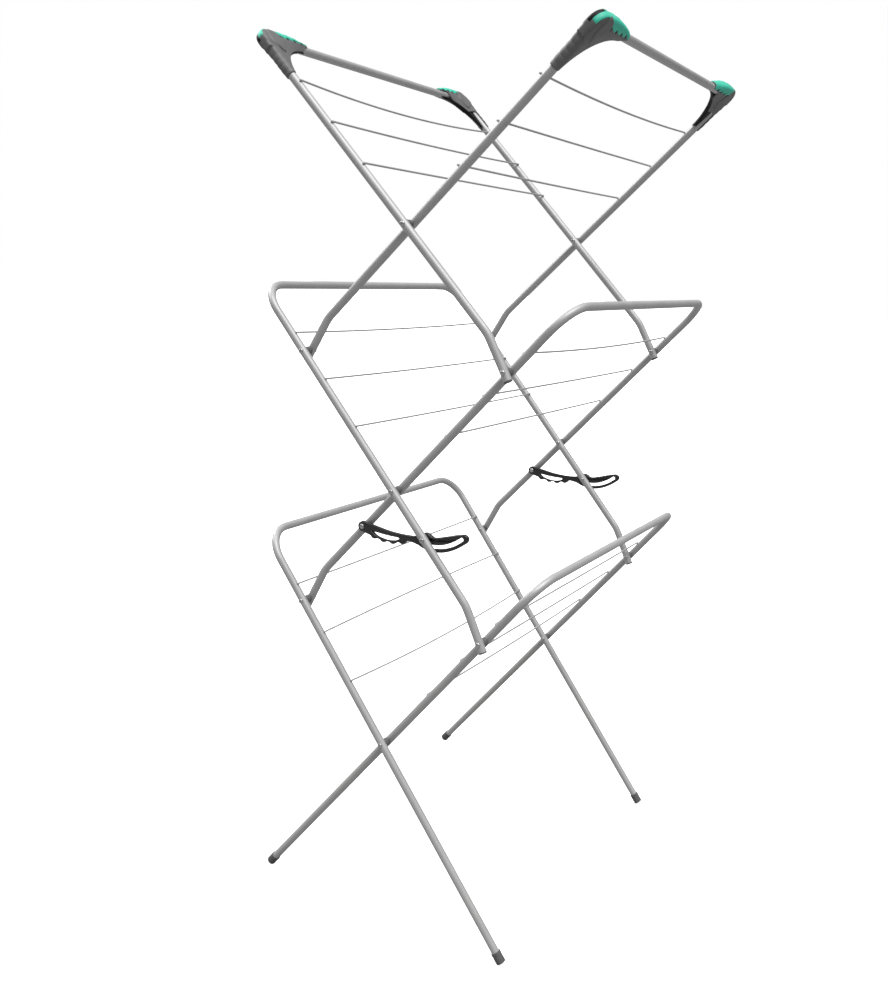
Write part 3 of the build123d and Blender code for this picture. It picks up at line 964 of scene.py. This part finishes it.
def grip_rings(rings=260, count=GRIP_COUNT):
    """The grip: a ribbed band over the crest, with a toothed edge on each face."""
    made = []
    first, last = 0.4, RAIL_RUN + GRIP_END
    for s in np.linspace(first, last, rings):
        section = Section(s)
        p = COVER_RAIL - s
        rib = abs(math.sin(math.pi * s / TOOTH)) ** 0.7 * float(smoothstep(22.0, 34.0, p))
        ends = float(smoothstep(-0.3, 1.3, min(s - first, last - s)))
        rise_here = GRIP_RISE * (0.45 + 0.8 * rib) * ends
        outer, inner = {}, {}
        for side in (-1, 1):
            w, n = section.half_outline(side, count, until=grip_limit)
            across, facing = outward(w, n, side)
            t = np.linspace(0, 1, count)
            rise = rise_here * (1 - smoothstep(0.92, 1.0, t)) - 0.3 * smoothstep(0.95, 1.0, t)
            outer[side] = (w + across * rise, n + facing * rise)
            inner[side] = (w - across * 0.6, n - facing * 0.6)
        made.append(c_ring(section, outer, inner))
    return np.array(made)


def clip_and_painted_shade_rings(rings=110):
    """The clip: a black crescent that closes the cover's mouth, tapered at both ends. Its black is
    partly the clip's own plastic and partly painted shade of the cover's hollow inside.
    """
    made = []
    first, last = COVER_RAIL - 88.0, SPINE - 4.0
    for s in np.linspace(first, last, rings):
        section = Section(s)
        t = (s - first) / (last - first)
        taper = min(1.0, 2.2 * min(t, 1 - t) + 0.2) ** 0.7
        half = CLIP_HALF * taper
        low = min(-(section.inner + 0.2) * min(1.0, 0.55 + 3.0 * t), -TUBE_R - 0.9)
        corners = rounded([
            (0.0, half, 0), (low + 1.2, half, 0), (low, half - 0.4, 0.9), (low - 0.3, 0, 2.0),
            (low, -half + 0.4, 0.9), (low + 1.2, -half, 0), (0.0, -half, 0)], 3)
        w = np.array([corner[0] for corner in corners])
        n = np.array([corner[1] for corner in corners])
        made.append(section.to_local(w, n))
    return np.array(made)


def painted_shade_strip_rings(rings=60):
    """A black strip of painted shade beside the grip's outer end, on the face that is cut back,
    where the wall's rounding turns away from the light.
    """
    made = []
    for s in np.linspace(RAIL_RUN + 10.0, RAIL_RUN + GRIP_END + 2.5, rings):
        section = Section(s)
        w, n, run = section.outline(-1)
        across, facing = outward(w, n, -1)
        place = np.linspace(0.2, 7.0, SHADE_STRIP_COUNT)
        w, n = np.interp(place, run, w), np.interp(place, run, n)
        across = np.interp(place, run, across)
        facing = np.interp(place, run, facing)
        rise = 0.35 * np.sin(np.pi * np.linspace(0, 1, SHADE_STRIP_COUNT)) ** 0.5 - 0.1
        over = section.to_local(w + across * rise, n + facing * rise)
        under = section.to_local(w - across * 0.6, n - facing * 0.6)
        made.append(np.concatenate([over, under[::-1]]))
    return np.array(made)


def painted_shade_notches():
    """Black lugs between the grip's teeth, as painted shade in the notches there."""
    solids = []
    for tooth in range(1, 5):
        p = COVER_RAIL - tooth * TOOTH + 1.2
        section = Section(COVER_RAIL - p)
        for side in (-1, 1):
            if p < WRAP[side][1]:
                continue
            base = side * (section.half + 0.2)
            ring = [(p - 2.6, GRIP_LOW + 5.4), (p + 3.4, GRIP_LOW + 5.4), (p + 3.4, GRIP_LOW - 0.4),
                    (p - 2.6, GRIP_LOW + 1.4)]
            solids.append(loft([[(x, y, base - side * 1.2) for x, y in ring],
                                [(x, y, base) for x, y in ring]]))
    return solids


COVER = strip_caps(shell_rings(), 2 * SHELL_COUNT - 1)
GRIP = strip_caps(grip_rings(), 2 * GRIP_COUNT - 1)
# The clip's crescent with painted shade of the hollow, the painted shade strip and the painted
# shade notches, all near-black.
CLIP_AND_PAINTED_SHADE = [loft(clip_and_painted_shade_rings()), loft(painted_shade_strip_rings())] + painted_shade_notches()


def placed(solid, item, y, inward):
    """A corner solid, moved from its own axes to its frame's corner."""
    corner = item.at(item.reach, y)
    along = Vector((0, inward, 0))
    across = along.cross(item.up)
    points = [corner + along * p + item.up * q + across * n for p, q, n in solid[0]]
    return points, solid[1]


for item in FRAMES:
    if item.tier != "top":
        continue
    for end, y, inward in (("near", item.near_y, 1), ("far", item.far_y, -1)):
        piece(f"cover_{item.name}_{end}", [placed(COVER, item, y, inward)], item.body,
              "cover_plastic", [f"{item.name}_cover_{end}"])
        piece(f"grip_{item.name}_{end}", [placed(GRIP, item, y, inward)], item.body,
              "grip_rubber", [f"{item.name}_grip_{end}"])
        # The clip piece also carries the near-black painted shade solids.
        piece(f"clip_{item.name}_{end}", [placed(solid, item, y, inward) for solid in CLIP_AND_PAINTED_SHADE],
              item.body, "clip_plastic", [f"{item.name}_clip_{end}"])


# ---------------------------------------------------- floor, light, camera

SKY_LOW = 0.10
SKY_TOP = 0.80
SUN_POWER = 2.7
SUN_SPREAD = 46.0
SUN_FROM = (0.30, -0.20, 0.93)
RIM_POWER = 1.8
RIM_SPREAD = 30.0
RIM_FROM = (-0.80, 0.10, 0.60)
FLOOR_HALF = 30.0
FLOOR_Z = -0.0005
FLOOR_SEEN = 0.92
FLOOR_BOUNCE = 0.24
FLOOR_GLOW = 0.80
floor_mesh = bpy.data.meshes.new("floor")
floor_mesh.from_pydata(
    [(x * FLOOR_HALF, y * FLOOR_HALF, FLOOR_Z) for x, y in ((-1, -1), (1, -1), (1, 1), (-1, 1))],
    [], [(0, 1, 2, 3)])
floor_material = bpy.data.materials.new("studio_floor")
floor_material.use_nodes = True
floor_tree = floor_material.node_tree
floor_shader = floor_tree.nodes["Principled BSDF"]
floor_seen = floor_tree.nodes.new("ShaderNodeLightPath").outputs["Is Camera Ray"]
floor_colour = ramp(floor_tree, floor_seen, [(0.0, FLOOR_BOUNCE), (1.0, FLOOR_SEEN)])
floor_tree.links.new(floor_colour, floor_shader.inputs["Base Color"])
floor_glow = ramp(floor_tree, floor_seen, [(0.0, 0.0), (1.0, FLOOR_GLOW)])
floor_tree.links.new(floor_glow, floor_shader.inputs["Emission Strength"])
floor_shader.inputs["Emission Color"].default_value = (1.0, 1.0, 1.0, 1.0)
floor_shader.inputs["Roughness"].default_value = 0.9
floor_shader.inputs["Specular IOR Level"].default_value = 0.1
floor_material.cycles.emission_sampling = "NONE"
floor_mesh.materials.append(floor_material)
floor = mesh_object("floor", floor_mesh)

world = bpy.data.worlds.new("studio")
world.use_nodes = True
sky = world.node_tree
height = sky.nodes.new("ShaderNodeSeparateXYZ")
sky.links.new(sky.nodes.new("ShaderNodeTexCoord").outputs["Generated"], height.inputs["Vector"])
glow = ramp(sky, height.outputs["Z"], [(0.0, SKY_LOW), (0.25, SKY_LOW), (0.8, SKY_TOP)])
seen = sky.nodes.new("ShaderNodeLightPath").outputs["Is Camera Ray"]
blend = sky.nodes.new("ShaderNodeMix")
blend.data_type = "RGBA"
sky.links.new(seen, blend.inputs["Factor"])
sky.links.new(glow, blend.inputs["A"])
blend.inputs["B"].default_value = (1.0, 1.0, 1.0, 1.0)
sky.links.new(blend.outputs["Result"], sky.nodes["Background"].inputs["Color"])
bpy.context.scene.world = world
bpy.context.scene.view_settings.view_transform = "Standard"

for name, power, spread, start in (("key", SUN_POWER, SUN_SPREAD, SUN_FROM),
                                   ("rim", RIM_POWER, RIM_SPREAD, RIM_FROM)):
    sun = bpy.data.objects.new(name, bpy.data.lights.new(name, "SUN"))
    sun.data.energy = power
    sun.data.angle = math.radians(spread)
    sun.rotation_euler = (-Vector(start)).to_track_quat("-Z", "Y").to_euler()
    bpy.context.scene.collection.objects.link(sun)

CAMERA_PLACE = (0.82163, -1.61570, 1.03735)
CAMERA_YAW = 29.388
CAMERA_PITCH = 12.385
CAMERA_ROLL = 3.077
CAMERA_LENS = 38.97
forward = Vector((-sin(CAMERA_YAW) * cos(CAMERA_PITCH), cos(CAMERA_YAW) * cos(CAMERA_PITCH),
                  -sin(CAMERA_PITCH)))
level = Vector((cos(CAMERA_YAW), sin(CAMERA_YAW), 0))
upward = level.cross(forward)
right = level * cos(CAMERA_ROLL) + upward * sin(CAMERA_ROLL)
upright = upward * cos(CAMERA_ROLL) - level * sin(CAMERA_ROLL)
camera = bpy.data.objects.new("camera", bpy.data.cameras.new("camera"))
camera.data.lens = CAMERA_LENS
camera.data.clip_start = 0.05
camera.matrix_world = Matrix.Translation(CAMERA_PLACE) @ Matrix(
    (right, upright, -forward)).transposed().to_4x4()
bpy.context.scene.collection.objects.link(camera)
bpy.context.scene.camera = camera
